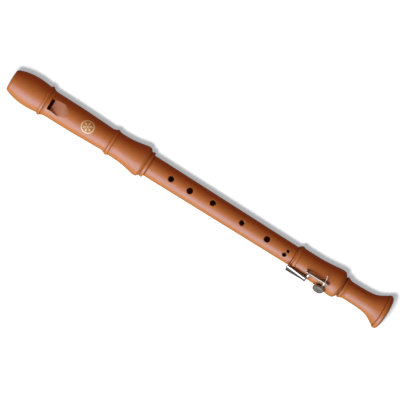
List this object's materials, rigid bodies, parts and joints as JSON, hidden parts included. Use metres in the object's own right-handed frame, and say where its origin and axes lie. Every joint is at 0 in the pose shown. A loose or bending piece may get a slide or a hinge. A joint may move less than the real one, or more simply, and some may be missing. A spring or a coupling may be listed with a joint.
{
  "type": "tenor recorder",
  "caption": "Turned pearwood duct flute in three joints with a beak mouthpiece, finger holes, a flared bell and a sprung little finger key over the lowest hole.",
  "frame": {"origin": "middle of the recorder's length, on the surface that its bell rim touches as it lies on its back", "axes": "+X along the bore from the mouthpiece to the bell, +Z the front with the finger holes, +Y away from the little finger's key"},
  "size_m": [0.64, 0.0544, 0.0544],
  "materials": {
    "pearwood": "satin oiled, stained reddish brown",
    "cedar": "bare, unfinished",
    "cork": "greased cork sheet",
    "nickel_silver": "polished nickel silver",
    "steel": "blued spring steel and rod",
    "pad_leather": "pale kid leather over felt"
  },
  "bodies": {
    "middle": {"middle_joint": "pearwood", "upper_tenon_cork": "cork", "lower_tenon_cork": "cork"},
    "head": {"head_joint": "pearwood"},
    "block": {"block": "cedar"},
    "foot": {"foot_joint": "pearwood", "upper_key_post": "nickel_silver", "lower_key_post": "nickel_silver", "pivot_rod": "steel", "key_spring": "steel"},
    "key": {"hinge_tube": "nickel_silver", "touch_arm": "nickel_silver", "touch_plate": "nickel_silver", "cup_arm": "nickel_silver", "heel_arm": "nickel_silver", "heel_cork": "cork", "pad_cup": "nickel_silver", "key_pad": "pad_leather"}
  },
  "joints": [
    {"name": "head_slide", "type": "slide", "parent": "middle", "child": "head", "axis": [-1, 0, 0], "range_m": [0, 0.034]},
    {"name": "block_slide", "type": "slide", "parent": "head", "child": "block", "axis": [-1, 0, 0], "range_m": [0, 0.066]},
    {"name": "foot_turn", "type": "hinge", "parent": "middle", "child": "foot", "pos_m": [0.1616, 0, 0.0272], "axis": [1, 0, 0], "continuous": true},
    {"name": "key_pivot", "type": "hinge", "parent": "foot", "child": "key", "pos_m": [0.2189, -0.00884, 0.04865], "axis": [1, 0, 0], "range_deg": [0, 13.5], "stiffness_Nm_per_rad": 0.03, "springref_deg": -14.32, "deforming": ["key_spring"]}
  ]
}
